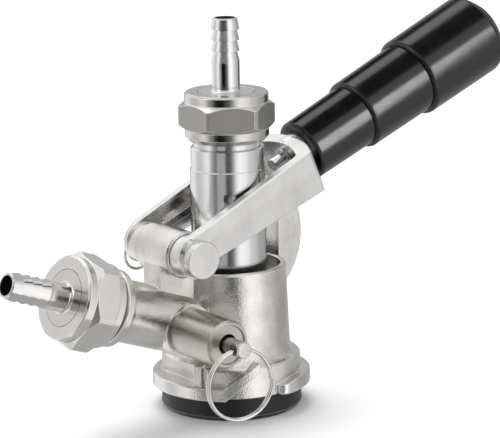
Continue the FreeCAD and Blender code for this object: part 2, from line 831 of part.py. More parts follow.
# Fork: two arms joined by a rounded yoke, with the neck that carries the handle
def make_lever_fork():
    tilt = (fork_top_end - fork_top_start) / fork_corner_s
    droop = (fork_bottom_end - fork_bottom_start) / (fork_corner_s - fork_bottom_s)
    end_s = fork_apex_s + 1
    top_end = fork_top_start + tilt * end_s
    bottom_end = fork_bottom_start + droop * (end_s - fork_bottom_s)
    blank = side_plate([
        (0, fork_top_start), (0, 0), (fork_bottom_s, fork_bottom_start), (end_s, bottom_end),
        (end_s, top_end),
    ], -fork_half, fork_half)
    blank = blank.fuse(bar(fork_eye_r, -fork_half, fork_half, Vec(0, 0, fork_eye_t), Y_AXIS))
    back_s = -2 * fork_eye_r
    plan = plan_plate([
        (back_s, -fork_half), (fork_corner_s, -fork_half),
        (fork_apex_s, 0, fork_corner_s, fork_half), (back_s, fork_half),
    ], -20, 20)
    corner_mid_s = fork_inner_corner_s - 0.25 * (fork_inner_corner_s - fork_inner_straight_s)
    corner_mid_y = fork_inner_half - 0.3 * (fork_inner_half - fork_inner_corner_y)
    inside = plan_plate([
        (back_s, -fork_inner_half), (fork_inner_straight_s, -fork_inner_half),
        (corner_mid_s, -corner_mid_y, fork_inner_corner_s, -fork_inner_corner_y),
        (fork_inner_apex_s, 0, fork_inner_corner_s, fork_inner_corner_y),
        (corner_mid_s, corner_mid_y, fork_inner_straight_s, fork_inner_half),
        (back_s, fork_inner_half),
    ], -20, 20)
    fork = blank.common(plan).cut(inside)
    yoke_rim = [
        edge for edge in fork.Edges
        if edge.BoundBox.ZMin > fork_top_end - 0.1 and edge.BoundBox.XMax > fork_apex_s - 0.1
    ]
    fork = fork.makeFillet(fork_edge_round, yoke_rim)
    for side in (-1, 1):
        half = fork_half
        bevel = end_plate([
            (side * (half - fork_arm_edge - 1), 1), (side * (half + 1), 1),
            (side * (half + 1), -fork_arm_edge - 1),
        ], 0, fork_corner_s)
        bevel.rotate(Vec(0, 0, 0), Y_AXIS, -math.degrees(math.atan(tilt)))
        bevel.translate(Vec(0, 0, fork_top_start))
        fork = fork.cut([bevel, eye_bevel(side), fork_corner_cut(side)])
        lean = end_plate([
            (side * fork_half, fork_ridge_t), (side * (fork_half + 1), fork_ridge_t),
            (side * (fork_half + 1), -12), (side * (fork_half - 2 * fork_lower_lean), -12),
        ], fork_eye_r, end_s)
        fork = fork.cut(lean)
    top_at = lambda s: fork_top_start + tilt * s - pocket_lip
    adds = []
    cuts = []
    for side in (-1, 1):
        y_in = side * (fork_inner_half - 1)
        y_out = side * (fork_inner_half + pocket_depth)
        cuts.append(side_plate([
            (pocket_start_s, pocket_bottom_t), (pocket_end_s, pocket_bottom_t),
            (pocket_end_s, top_at(pocket_end_s)), (pocket_start_s, top_at(pocket_start_s)),
        ], min(y_in, y_out), max(y_in, y_out)))
        rib_in = side * rib_half_in
        rib_out = side * (fork_inner_half + 0.5)
        adds.append(side_plate([
            (fork_eye_r, rib_bottom_t), (fork_inner_straight_s, rib_bottom_t),
            (fork_inner_straight_s, pocket_bottom_t), (fork_eye_r, pocket_bottom_t),
        ], min(rib_in, rib_out), max(rib_in, rib_out)))
        for radius, y_start, at_s, at_t in (
            (fork_boss_r, knuckle_half + side_gap, 0, 0),
            (drive_lug_r, drive_lug_in, lug_s, lug_t),
        ):
            line = Vec(0, side, 0)
            adds.append(bar(radius, y_start, fork_half - 1, Vec(at_s, 0, at_t), line))
    fork = fork.cut(cuts).fuse(adds)
    neck = on_rod_line([
        (0, fork_inner_apex_s + 1), (neck_r, fork_inner_apex_s + 1), (neck_r, neck_end_s - 0.5),
        (neck_r - 0.5, neck_end_s), (0, neck_end_s),
    ])
    bush_hole_r = bush_r + seat_play
    spot_r = bush_flange_r + 0.3
    way = on_rod_line([
        (0, fork_inner_straight_s), (spot_r, fork_inner_straight_s), (spot_r, fork_inner_apex_s),
        (bush_hole_r, fork_inner_apex_s), (bush_hole_r, neck_floor_s), (neck_bore_r, neck_floor_s),
        (neck_bore_r, neck_end_s + 1), (0, neck_end_s + 1),
    ])
    pin_hole = bar(pin_r + slide_play, -fork_half - 1, fork_half + 1, Vec(0, 0, 0), Y_AXIS)
    return on_lever(fork.fuse(neck).cut([way, pin_hole]))


# Flanged bush that guides the plunger through the yoke
def make_rod_bush():
    inner_r = rod_r + slide_play
    return on_lever(on_rod_line([
        (inner_r, fork_inner_apex_s - bush_flange), (bush_flange_r, fork_inner_apex_s - bush_flange),
        (bush_flange_r, fork_inner_apex_s), (bush_r, fork_inner_apex_s), (bush_r, neck_floor_s),
        (inner_r, neck_floor_s),
    ]))


# Screwed plug in the neck's end that the spring pushes against
def make_spring_plug():
    inner_r = rod_r + slide_play
    low = neck_end_s - plug_depth
    return on_lever(on_rod_line([
        (inner_r, low), (neck_bore_r - seat_play, low), (neck_bore_r - seat_play, neck_end_s),
        (plug_flange_r, neck_end_s), (plug_flange_r, neck_end_s + plug_flange),
        (inner_r, neck_end_s + plug_flange),
    ]))


# Plunger rod from its rounded tip to its end in the handle's insert
def make_plunger_rod():
    end = insert_s + rod_in_insert
    return on_lever(on_rod_line([
        (0, rod_tip_s), (rod_r - rod_tip_edge, rod_tip_s), (rod_r, rod_tip_s + rod_tip_edge),
        (rod_r, end), (0, end),
    ]))


# Ring on the rod that the spring pushes
def make_rod_collar():
    low = neck_floor_s + collar_gap
    return on_lever(on_rod_line([
        (rod_r + seat_play, low), (neck_bore_r - 0.2, low), (neck_bore_r - 0.2, low + collar_thick),
        (rod_r + seat_play, low + collar_thick),
    ]))


def make_handle_spring():
    low = neck_floor_s + collar_gap + collar_thick + 0.1
    high = neck_end_s - plug_depth - 0.1
    spring = coil(handle_spring_r, spring_wire_r, low, high, handle_spring_turns)
    return on_lever(onto(spring, Vec(0, 0, rod_t), X_AXIS))


# Brass insert moulded into the grip, bored for the rod
def make_handle_insert():
    end = insert_s + insert_length
    bore_end = insert_s + rod_in_insert + seat_play
    return on_lever(on_rod_line([
        (rod_r + seat_play, insert_s), (insert_r, insert_s), (insert_r, end), (0, end),
        (0, bore_end), (rod_r + seat_play, bore_end),
    ]))


# Moulded grip in three tiers that each widen towards the end
def make_handle_grip():
    path = [(0, grip_start_s)]
    starts = [grip_start_s, tier_2_s, tier_3_s]
    ends = [tier_2_s, tier_3_s, grip_end_s]
    radii = [tier_1_r, tier_2_r, tier_3_r]
    for tier, (start, end) in enumerate(zip(starts, ends)):
        low_r = radii[tier]
        high_r = low_r + tier_draft
        if tier == 0:
            path.append((low_r - grip_mouth_edge, start))
            path.append((low_r - 0.3 * grip_mouth_edge, start + 0.3 * grip_mouth_edge,
                         low_r, start + grip_mouth_edge))
        else:
            below = radii[tier - 1] + tier_draft
            rise = low_r - below
            path.append((below + 0.75 * rise, start + 0.25 * grip_shoulder, low_r, start + grip_shoulder))
        if tier < len(starts) - 1:
            path.append((high_r, end))
        else:
            path.append((high_r, end - grip_end_round))
            path.append((high_r - 0.3 * grip_end_round, end - 0.3 * grip_end_round,
                         high_r - grip_end_round, end))
            path.append((0, end))
    grip = on_rod_line(path, grip_t)
    sleeve = on_rod_line([
        (0, grip_start_s - 1), (neck_r + 0.2, grip_start_s - 1), (neck_r + 0.2, insert_s),
        (insert_r + seat_play, insert_s), (insert_r + seat_play, insert_s + insert_length),
        (0, insert_s + insert_length),
    ])
    pocket_s = grip_end_s - cap_thick
    hollow = on_rod_line([
        (0, grip_core_s), (grip_core_r - 1.5, grip_core_s), (grip_core_r, grip_core_s + 1.5),
        (grip_core_r, pocket_s), (cap_r + seat_play, pocket_s), (cap_r + seat_play, grip_end_s + 1),
        (0, grip_end_s + 1),
    ], grip_t)
    return on_lever(grip.cut([sleeve, hollow]))


# Domed cap in the grip's end
def make_end_cap():
    low = grip_end_s - cap_thick
    face = grip_end_s + cap_proud
    edge_r = cap_r - cap_edge
    dome_r = (edge_r ** 2 + cap_dome ** 2) / (2 * cap_dome)
    half_way = face + cap_dome - dome_r + math.sqrt(dome_r ** 2 - (edge_r / 2) ** 2)
    return on_lever(on_rod_line([
        (0, low), (cap_r, low), (cap_r, face - cap_edge),
        (cap_r - 0.3 * cap_edge, face - 0.3 * cap_edge, edge_r, face),
        (edge_r / 2, half_way, 0, face + cap_dome),
    ], grip_t))


beer_start = Vec(0, 0, probe_nut_z)
gas_joint = gas_start + gas_line * gas_nut_back

save("body_seal", make_body_seal())
save("body_casting", make_body_casting())
save("probe_gland_rings", make_gland_rings())
save("gas_check_valve", make_gas_check_valve())
save("gas_washer", onto(make_washer(), gas_joint, gas_line))
save("gas_tailpiece", onto(make_tail(gas_tail_length), gas_joint, gas_line))
save("gas_nut", onto(make_nut(gas_hex_turn_deg), gas_joint, gas_line))
save("relief_barrel", make_relief_barrel())
save("relief_stem", make_relief_stem())
save("relief_seat_rubber", make_relief_rubber())
save("relief_spring", make_relief_spring())
save("relief_pull_ring", make_pull_ring())
save("hinge_pin", make_hinge_pin())
save("hinge_pin_ring", make_pin_ring())
save("probe_tube", make_probe())
save("probe_tip_seal", make_tip_seal())
save("beer_check_ball", make_check_ball())
save("ball_stop", make_ball_stop())
save("beer_washer", onto(make_washer(), beer_start, Z_AXIS))
save("beer_tailpiece", onto(make_tail(beer_tail_length), beer_start, Z_AXIS))
save("beer_nut", onto(make_nut(beer_hex_turn_deg), beer_start, Z_AXIS))
save("lever_fork", make_lever_fork())
save("rod_bush", make_rod_bush())
save("spring_plug", make_spring_plug())
save("plunger_rod", make_plunger_rod())
save("rod_collar", make_rod_collar())
save("handle_spring", make_handle_spring())
save("handle_insert", make_handle_insert())
save("handle_grip", make_handle_grip())
save("handle_end_cap", make_end_cap())
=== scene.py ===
import bpy
import math
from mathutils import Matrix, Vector


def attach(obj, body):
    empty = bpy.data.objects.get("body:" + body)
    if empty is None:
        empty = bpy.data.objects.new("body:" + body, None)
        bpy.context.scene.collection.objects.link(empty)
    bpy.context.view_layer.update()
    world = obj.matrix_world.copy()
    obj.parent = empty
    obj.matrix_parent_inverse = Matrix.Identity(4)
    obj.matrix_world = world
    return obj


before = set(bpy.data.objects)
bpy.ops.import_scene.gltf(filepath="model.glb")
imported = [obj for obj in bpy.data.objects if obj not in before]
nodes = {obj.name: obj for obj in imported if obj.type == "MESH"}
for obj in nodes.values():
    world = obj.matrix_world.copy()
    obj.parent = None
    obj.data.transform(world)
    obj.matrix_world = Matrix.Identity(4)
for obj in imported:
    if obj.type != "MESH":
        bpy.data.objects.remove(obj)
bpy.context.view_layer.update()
mm = 0.001
print("frame loaded,", len(nodes), "parts")


def hexColour(code):
    # sRGB hex as seen on screen, turned to the linear values the shaders want
    values = [int(code[i:i + 2], 16) / 255 for i in (1, 3, 5)]
    linear = [v / 12.92 if v <= 0.04045 else ((v + 0.055) / 1.055) ** 2.4 for v in values]
    return (*linear, 1.0)


def plainGrey(level):
    # a grey by its brightness, where 1 is white
    return (level, level, level, 1)


def addNode(tree, kind, settings=None, links=None):
    # settings are the node's own options or its sockets, links are socket: output
    node = tree.nodes.new(kind)
    for name, value in (settings or {}).items():
        if isinstance(name, str) and hasattr(node, name) and name not in node.inputs:
            setattr(node, name, value)
        else:
            node.inputs[name].default_value = value
    for name, output in (links or {}).items():
        tree.links.new(output, node.inputs[name])
    return node


def newMaterial(name):
    material = bpy.data.materials.new(name)
    material.use_nodes = True
    material.node_tree.nodes.clear()
    return material, material.node_tree


def finishMaterial(material, tree, shader):
    addNode(tree, "ShaderNodeOutputMaterial", {}, {"Surface": shader.outputs[0]})
    return material


def millimetres(tree, stretch=(1, 1, 1), turn=(0, 0, 0)):
    # Object coordinates in millimetres, so each pattern's scale is one over its size
    where = addNode(tree, "ShaderNodeTexCoord")
    size = tuple(1000 / s for s in stretch)
    turned = tuple(math.radians(a) for a in turn)
    return addNode(tree, "ShaderNodeMapping", {"Scale": size, "Rotation": turned},
                   {"Vector": where.outputs["Object"]}).outputs["Vector"]


def twoTone(tree, look, share):
    # the look's two colours, mixed by a soft noise
    return addNode(tree, "ShaderNodeMix",
                   {"data_type": "RGBA", 6: hexColour(look["shade"]), 7: hexColour(look["colour"])},
                   {"Factor": share}).outputs[2]


# a noise seldom leaves these values, so they reach the two ends of the roughness
noiseReach = (0.3, 0.7)


def unevenRoughness(tree, look, noise):
    (start, end), (low, high) = noiseReach, look["roughness"]
    return addNode(tree, "ShaderNodeMapRange",
                   {"From Min": start, "From Max": end, "To Min": low, "To Max": high},
                   {"Value": noise.outputs["Fac"]}).outputs["Result"]


# a painted highlight: the rounded edges are mixed towards white, standing in for the light they catch; turns
# are the cosines of how far the normal turns on the rounded edge, where the highlight starts and where it is
# full
edgeHighlight = {"turns": (0.995, 0.93), "colour": "#FFFFFF", "samples": 6}


def paintedEdgeHighlight(tree, look, colour, rough):
    # the light catches a small radius on each edge, and the turn of its normal shows where the edge is;
    # there white is mixed into the colour as a painted highlight
    soft = addNode(tree, "ShaderNodeBevel", {"samples": edgeHighlight["samples"], "Radius": look["edge"] * mm})
    where = addNode(tree, "ShaderNodeNewGeometry")
    turned = addNode(tree, "ShaderNodeVectorMath", {"operation": "DOT_PRODUCT"},
                     {0: where.outputs["Normal"], 1: soft.outputs["Normal"]})
    start, end = edgeHighlight["turns"]
    highlighted = addNode(tree, "ShaderNodeMapRange", {"From Min": start, "From Max": end, "To Max": look["rub"]},
                     {"Value": turned.outputs["Value"]}).outputs["Result"]
    # painted highlight: white mixed into the colour on the rounded edges
    bright = addNode(tree, "ShaderNodeMix", {"data_type": "RGBA", 7: hexColour(edgeHighlight["colour"])},
                     {"Factor": highlighted, 6: colour})
    spread = addNode(tree, "ShaderNodeMix", {"data_type": "FLOAT", 3: look["rubRoughness"]},
                     {"Factor": highlighted, 2: rough})
    return soft.outputs["Normal"], bright.outputs[2], spread.outputs[0]


# nickel on a sand casting: the skin's grain shows as sparkle, larger patches as a slight change of tone
castSkin = {"gritDetail": 2.0, "gritRoughness": 0.6, "waveDetail": 1.0,
            "patchSize": 9.0, "patchDetail": 3.0, "patchReach": (0.35, 0.65)}


def satinNickelCasting(name, look):
    material, tree = newMaterial(name)
    point = millimetres(tree)
    grit = addNode(tree, "ShaderNodeTexNoise",
                   {"Scale": 1 / look["gritSize"], "Detail": castSkin["gritDetail"],
                    "Roughness": castSkin["gritRoughness"]}, {"Vector": point})
    wave = addNode(tree, "ShaderNodeTexNoise",
                   {"Scale": 1 / look["waveSize"], "Detail": castSkin["waveDetail"]}, {"Vector": point})
    patch = addNode(tree, "ShaderNodeTexNoise",
                    {"Scale": 1 / castSkin["patchSize"], "Detail": castSkin["patchDetail"]},
                    {"Vector": point})
    start, end = castSkin["patchReach"]
    worn = addNode(tree, "ShaderNodeMapRange", {"From Min": start, "From Max": end},
                   {"Value": patch.outputs["Fac"]})
    colour = twoTone(tree, look, worn.outputs["Result"])
    rough = unevenRoughness(tree, look, grit)
    # rounded edges, with a painted highlight in the colour
    soft, bright, spread = paintedEdgeHighlight(tree, look, colour, rough)
    swell = addNode(tree, "ShaderNodeBump", {"Strength": 1.0, "Distance": look["waveHeight"] * mm},
                    {"Height": wave.outputs["Fac"], "Normal": soft})
    bump = addNode(tree, "ShaderNodeBump", {"Strength": 1.0, "Distance": look["gritHeight"] * mm},
                   {"Height": grit.outputs["Fac"], "Normal": swell.outputs["Normal"]})
    metal = addNode(tree, "ShaderNodeBsdfPrincipled", {"Metallic": 1.0},
                    {"Base Color": bright, "Roughness": spread, "Normal": bump.outputs["Normal"]})
    return finishMaterial(material, tree, metal)


def flatsMask(tree, axis):
    # 1 on a nut's six milled flats, whose planes lie further from its axis than the turned collars do
    where = addNode(tree, "ShaderNodeTexCoord")
    along = Vector(axis["along"])
    point = addNode(tree, "ShaderNodeVectorMath", {"operation": "SUBTRACT", 1: Vector(axis["start"]) * mm},
                    {0: where.outputs["Object"]}).outputs["Vector"]
    lift = addNode(tree, "ShaderNodeVectorMath", {"operation": "DOT_PRODUCT", 1: along}, {0: point})
    lean = addNode(tree, "ShaderNodeVectorMath", {"operation": "DOT_PRODUCT", 1: along},
                   {0: where.outputs["Normal"]})
    across = addNode(tree, "ShaderNodeVectorMath", {"operation": "DOT_PRODUCT"},
                     {0: point, 1: where.outputs["Normal"]})
    shared = addNode(tree, "ShaderNodeMath", {"operation": "MULTIPLY"},
                     {0: lift.outputs["Value"], 1: lean.outputs["Value"]})
    reach = addNode(tree, "ShaderNodeMath", {"operation": "SUBTRACT"},
                    {0: across.outputs["Value"], 1: shared.outputs[0]})
    isFlat = addNode(tree, "ShaderNodeMath", {"operation": "GREATER_THAN", 1: axis["edge"] * mm},
                     {0: reach.outputs[0]})
    return isFlat.outputs[0]


# metal turned on a lathe or drawn through a die: fine rings round the axis, and a faint cloud of tone
lathe = {"cloudSize": 7.0, "cloudDetail": 2.0, "lineDetail": 3.0, "lineRoughness": 0.65}


def turnedMetal(name, look):
    material, tree = newMaterial(name)
    point = millimetres(tree, look["stretch"], look.get("turn", (0, 0, 0)))
    lines = addNode(tree, "ShaderNodeTexNoise",
                    {"Scale": 1 / look["lineSize"], "Detail": lathe["lineDetail"],
                     "Roughness": lathe["lineRoughness"]}, {"Vector": point})
    cloud = addNode(tree, "ShaderNodeTexNoise",
                    {"Scale": 1 / lathe["cloudSize"], "Detail": lathe["cloudDetail"]},
                    {"Vector": millimetres(tree)})
    colour = twoTone(tree, look, cloud.outputs["Fac"])
    rough = unevenRoughness(tree, look, lines)
    if "flats" in look:
        # the milled flats are rougher than the turned faces, and their colour is multiplied by a painted
        # shade
        flats = look["flats"]
        onFlat = flatsMask(tree, flats)
        colour = addNode(tree, "ShaderNodeMix",
                         {"data_type": "RGBA", "blend_type": "MULTIPLY", 7: hexColour(flats["tint"])},
                         {"Factor": onFlat, 6: colour}).outputs[2]
        rough = addNode(tree, "ShaderNodeMath", {"operation": "MULTIPLY_ADD", 1: flats["rougher"]},
                        {0: onFlat, 2: rough}).outputs[0]
    bump = addNode(tree, "ShaderNodeBump", {"Strength": 1.0, "Distance": look["lineHeight"] * mm},
                   {"Height": lines.outputs["Fac"]})
    if "edge" in look:
        # rounded edges, with a painted highlight in the colour
        soft, colour, rough = paintedEdgeHighlight(tree, look, colour, rough)
        tree.links.new(soft, bump.inputs["Normal"])
    metal = addNode(tree, "ShaderNodeBsdfPrincipled", {"Metallic": 1.0},
                    {"Base Color": colour, "Roughness": rough, "Normal": bump.outputs["Normal"]})
    return finishMaterial(material, tree, metal)


# moulded rubber and plastic: a faint orange peel, and a bloom of lighter grey in patches
moulding = {"bloomSize": 6.0, "bloomDetail": 3.0, "peelDetail": 2.0}


def mouldedPolymer(name, look):
    material, tree = newMaterial(name)
    point = millimetres(tree)
    peel = addNode(tree, "ShaderNodeTexNoise",
                   {"Scale": 1 / look["peelSize"], "Detail": moulding["peelDetail"]}, {"Vector": point})
    bloom = addNode(tree, "ShaderNodeTexNoise",
                    {"Scale": 1 / moulding["bloomSize"], "Detail": moulding["bloomDetail"]},
                    {"Vector": point})
    bump = addNode(tree, "ShaderNodeBump", {"Strength": 1.0, "Distance": look["peelHeight"] * mm},
                   {"Height": peel.outputs["Fac"]})
    polymer = addNode(tree, "ShaderNodeBsdfPrincipled", {"IOR": look["ior"]},
                      {"Base Color": twoTone(tree, look, bloom.outputs["Fac"]),
                       "Roughness": unevenRoughness(tree, look, bloom), "Normal": bump.outputs["Normal"]})
    return finishMaterial(material, tree, polymer)


finishes = {
    # zinc casting under satin nickel, as cast: sandy sparkle, rounded edges with a painted highlight
    "castNickel": satinNickelCasting("satinNickelOnZincCasting", {
        "colour": "#E0DEDB", "shade": "#CDCAC5", "roughness": (0.08, 0.15), "edge": 0.45,
        "gritSize": 0.55, "gritHeight": 0.09, "waveSize": 5.0, "waveHeight": 0.12,
        "rub": 0.9, "rubRoughness": 0.45}),
    # the same, ground on a belt first: flatter and paler, with less sparkle
    "forkNickel": satinNickelCasting("satinNickelOnLinishedCasting", {
        "colour": "#E2E1DF", "shade": "#D8D6D4", "roughness": (0.16, 0.24), "edge": 0.45,
        "gritSize": 0.5, "gritHeight": 0.05, "waveSize": 5.0, "waveHeight": 0.08,
        "rub": 0.9, "rubRoughness": 0.45}),
    # satin nickel over turned brass: greyer, with rings round the barrel
    "barrelNickel": turnedMetal("satinNickelOnTurnedBrass", {
        "colour": "#CBC7C1", "shade": "#B4B0AA", "roughness": (0.24, 0.34),
        "stretch": (3, 0.4, 3), "lineSize": 0.6, "lineHeight": 0.006}),
    # stainless bar, turned and milled: bright collars, rougher flats darkened by a painted shade, edges with
    # a painted highlight
    "beerNutSteel": turnedMetal("machinedStainlessBeerNut", {
        "colour": "#CFCDCA", "shade": "#C0BEBB", "roughness": (0.16, 0.24),
        "stretch": (8, 8, 0.5), "lineSize": 0.6, "lineHeight": 0.004,
        "edge": 0.35, "rub": 0.8, "rubRoughness": 0.35,
        "flats": {"start": (0, 0, 0), "along": (0, 0, 1), "edge": 13.62, "rougher": 0.28,
                  "tint": "#DADADA"}}),
    # the same bar about the sloping gas neck, painted lighter than the beer nut to stand in for the light on
    # it, its flats left undarkened, edges with a painted highlight
    "gasNutSteel": turnedMetal("machinedStainlessGasNut", {
        # painted light: a lighter colour than the beer nut's for the same stainless
        "colour": "#E6E4E2", "shade": "#D8D6D3", "roughness": (0.12, 0.22),
        "stretch": (0.5, 8, 8), "turn": (0, -20, 0), "lineSize": 0.6, "lineHeight": 0.004,
        "edge": 0.35, "rub": 0.8, "rubRoughness": 0.35,
        "flats": {"start": (0, 0, 22.7), "along": (-0.9397, 0, 0.342), "edge": 13.62, "rougher": 0.22,
                  "tint": "#FFFFFF"}}),
    # polished stainless: nearly a mirror, with a trace of the lathe
    "polishedSteel": turnedMetal("polishedStainlessTube", {
        "colour": "#E2E2E2", "shade": "#D4D4D5", "roughness": (0.12, 0.2),
        "stretch": (6, 6, 0.5), "lineSize": 0.5, "lineHeight": 0.004}),
    # brushed stainless tube: long soft reflections down the probe
    "probeSteel": turnedMetal("brushedStainlessProbe", {
        "colour": "#DCDCDC", "shade": "#CECECF", "roughness": (0.13, 0.2),
        "stretch": (6, 6, 0.5), "lineSize": 0.5, "lineHeight": 0.003}),
    # satin stainless, rings round the sloping gas tail
    "gasTailSteel": turnedMetal("satinStainlessGasTail", {
        "colour": "#E0DFDD", "shade": "#CFCDCB", "roughness": (0.12, 0.18),
        "stretch": (0.5, 8, 8), "turn": (0, -20, 0), "lineSize": 0.6, "lineHeight": 0.006}),
    # bright drawn spring wire: glossy, with a slight draw mark
    "drawnWire": turnedMetal("brightDrawnWire", {
        "colour": "#E6E4E1", "shade": "#CFCDCA", "roughness": (0.08, 0.15),
        "stretch": (1, 1, 1), "lineSize": 0.8, "lineHeight": 0.004}),
    # bare turned brass: warm yellow, a little tarnished
    "brass": turnedMetal("turnedBrass", {
        "colour": "#D3AE62", "shade": "#B98F45", "roughness": (0.2, 0.3),
        "stretch": (0.5, 4, 4), "lineSize": 0.6, "lineHeight": 0.005}),
    # moulded nitrile rubber: black and soft, with a dull sheen
    "sealRubber": mouldedPolymer("nitrileRubber", {
        "colour": "#161618", "shade": "#101011", "roughness": (0.36, 0.48), "ior": 1.42,
        "peelSize": 0.5, "peelHeight": 0.02}),
    # the moulding line's ridge on the seal, coloured paler than the skin as a painted highlight
    "seamHighlightRubber": mouldedPolymer("nitrileRubberSeamHighlight", {
        "colour": "#8C8C8E", "shade": "#6E6E70", "roughness": (0.3, 0.4), "ior": 1.52,
        "peelSize": 0.5, "peelHeight": 0.01}),
    # red silicone rubber: even colour, soft sheen
    "redSilicone": mouldedPolymer("redSiliconeRubber", {
        "colour": "#E5352A", "shade": "#D3261C", "roughness": (0.35, 0.45), "ior": 1.43,
        "peelSize": 0.6, "peelHeight": 0.01}),
    # phenolic moulded in a polished tool: deep glossy black with a faint orange peel
    "gripPlastic": mouldedPolymer("glossBlackPhenolic", {
        "colour": "#111113", "shade": "#0B0B0D", "roughness": (0.17, 0.23), "ior": 1.5,
        "peelSize": 2.2, "peelHeight": 0.008}),
}
nodeFinish = {
    "body_casting": "castNickel", "lever_fork": "forkNickel", "relief_barrel": "barrelNickel",
    "body_seal": "sealRubber", "probe_gland_rings": "sealRubber", "gas_check_valve": "sealRubber",
    "relief_seat_rubber": "sealRubber", "probe_tip_seal": "sealRubber",
    "gas_washer": "redSilicone", "beer_washer": "redSilicone",
    "gas_nut": "gasNutSteel", "beer_nut": "beerNutSteel",
    "gas_tailpiece": "gasTailSteel", "beer_tailpiece": "polishedSteel", "probe_tube": "probeSteel",
    "relief_stem": "barrelNickel", "hinge_pin": "forkNickel", "beer_check_ball": "polishedSteel",
    "ball_stop": "polishedSteel", "rod_bush": "polishedSteel", "plunger_rod": "polishedSteel",
    "rod_collar": "polishedSteel", "relief_spring": "drawnWire", "relief_pull_ring": "drawnWire",
    "hinge_pin_ring": "drawnWire", "handle_spring": "drawnWire",
    "spring_plug": "brass", "handle_insert": "brass",
    "handle_grip": "gripPlastic", "handle_end_cap": "gripPlastic",
}
for name, obj in nodes.items():
    obj.data.materials.clear()
    obj.data.materials.append(finishes[nodeFinish[name]])
print("finishes given to", len(nodeFinish), "parts")

# camera where the photograph was taken from, worked out from the nuts, the pin and the seal
view = {"place": (-462.81, -615.64, 239.56), "turn": (76.945, 0.932, -37.664), "lens": 176.5, "sensor": 36,
        "nearest": 0.01}
cameraData = bpy.data.cameras.new("photoCamera")
cameraData.sensor_width = view["sensor"]
cameraData.lens = view["lens"]
cameraData.clip_start = view["nearest"]
camera = bpy.data.objects.new("photoCamera", cameraData)
camera.location = [v * mm for v in view["place"]]
camera.rotation_euler = [math.radians(a) for a in view["turn"]]
bpy.context.scene.collection.objects.link(camera)
bpy.context.scene.camera = camera
bpy.context.scene.view_settings.view_transform = "Standard"
cameraSide = math.atan2(view["place"][1], view["place"][0])
print("camera placed")

# studio: white sweep, soft boxes, and grey papers that only mirror rays see
studio = {"middle": Vector((10, 0, 60)) * mm, "floorSize": 8, "whiteFloor": "#CCCCCC", "floorLift": 0.06}


def showsBackground(tree):
    # 1 for camera, mirror and glass rays, 0 for the light that falls on the object
    path = addNode(tree, "ShaderNodeLightPath")
    either = addNode(tree, "ShaderNodeMath", {"operation": "MAXIMUM"},
                     {0: path.outputs["Is Camera Ray"], 1: path.outputs["Is Glossy Ray"]})
    every = addNode(tree, "ShaderNodeMath", {"operation": "MAXIMUM"},
                    {0: either.outputs[0], 1: path.outputs["Is Transmission Ray"]})
    return every.outputs[0]


def fromCamera(right, up, distance):
    # a point seen from the object, so many degrees to the right of the camera and above the floor
    start = cameraSide + math.radians(right)
    rise = math.radians(up)
    way = Vector((math.cos(start) * math.cos(rise), math.sin(start) * math.cos(rise), math.sin(rise)))
    return studio["middle"] + way * distance


def faceMiddle(obj):
    way = studio["middle"] - obj.location
    obj.rotation_euler = way.to_track_quat("-Z", "Y").to_euler()


def collectionOf(name, members):
    gathered = bpy.data.collections.new(name)
    for member in members:
        gathered.objects.link(member)
    return gathered


world = bpy.data.worlds.new("whiteRoom")
world.use_nodes = True
world.node_tree.nodes.clear()
backdrop = addNode(world.node_tree, "ShaderNodeBackground", {"Color": plainGrey(1), "Strength": 1.0})
addNode(world.node_tree, "ShaderNodeOutputWorld", {}, {"Surface": backdrop.outputs[0]})
bpy.context.scene.world = world


def whiteSweep():
    bpy.ops.object.select_all(action="DESELECT")
    bpy.ops.mesh.primitive_plane_add(size=studio["floorSize"], location=(0, 0, 0))
    ground = bpy.context.object
    ground.name = "floor"
    material, tree = newMaterial("whiteSweep")
    matt = addNode(tree, "ShaderNodeBsdfDiffuse", {"Color": hexColour(studio["whiteFloor"])})
    lift = addNode(tree, "ShaderNodeMath", {"operation": "MULTIPLY", 1: studio["floorLift"]},
                   {0: showsBackground(tree)})
    glow = addNode(tree, "ShaderNodeEmission", {"Color": plainGrey(1)}, {"Strength": lift.outputs[0]})
    both = addNode(tree, "ShaderNodeAddShader", {}, {0: matt.outputs[0], 1: glow.outputs[0]})
    ground.data.materials.append(finishMaterial(material, tree, both))
    # upright metal mirrors what is low in front of it, and there the paper walls stand in for the floor
    ground.visible_glossy = False
    return ground


floor = whiteSweep()

# soft boxes by degrees from the camera, sizes in metres; glow is how bright the box's own face looks
softBoxes = {
    "gripBox": {"right": 62, "up": 12, "distance": 0.9, "size": (0.3, 0.5), "glow": 9.0,
                "lights": ["handle_grip", "handle_end_cap"]},
    "topBox": {"right": -162, "up": 62, "distance": 0.9, "size": (0.6, 0.42), "glow": 1.05},
    "leftBox": {"right": -62, "up": 34, "distance": 1.0, "size": (0.3, 0.5), "glow": 1.2},
}


def placeLamp(name, kind, lamp):
    holder = bpy.data.objects.new(name, bpy.data.lights.new(name, kind))
    holder.location = fromCamera(lamp["right"], lamp["up"], lamp["distance"])
    faceMiddle(holder)
    bpy.context.scene.collection.objects.link(holder)
    return holder


for name, box in softBoxes.items():
    holder = placeLamp(name, "AREA", box)
    holder.data.shape = "RECTANGLE"
    holder.data.size, holder.data.size_y = box["size"]
    holder.data.energy = box["glow"] * math.pi * box["size"][0] * box["size"][1]
    if "lights" in box:
        lit = collectionOf(name + "Lights", [nodes[part] for part in box["lights"]])
        holder.light_linking.receiver_collection = lit

# one broad lamp high behind lights the floor alone, so the base keeps a close shadow on a white floor
floorLamp = {"right": -150, "up": 68, "distance": 1.0, "softness": 40, "strength": 2.5,
             "shadowsOf": ["body_casting", "body_seal"]}


def lightFloor():
    holder = placeLamp("floorLamp", "SUN", floorLamp)
    holder.data.energy = floorLamp["strength"]
    holder.data.angle = math.radians(floorLamp["softness"])
    holder.light_linking.receiver_collection = collectionOf("floorAlone", [floor])
    holder.light_linking.blocker_collection = collectionOf(
        "floorShadows", [nodes[part] for part in floorLamp["shadowsOf"]])
    return holder


lightFloor()

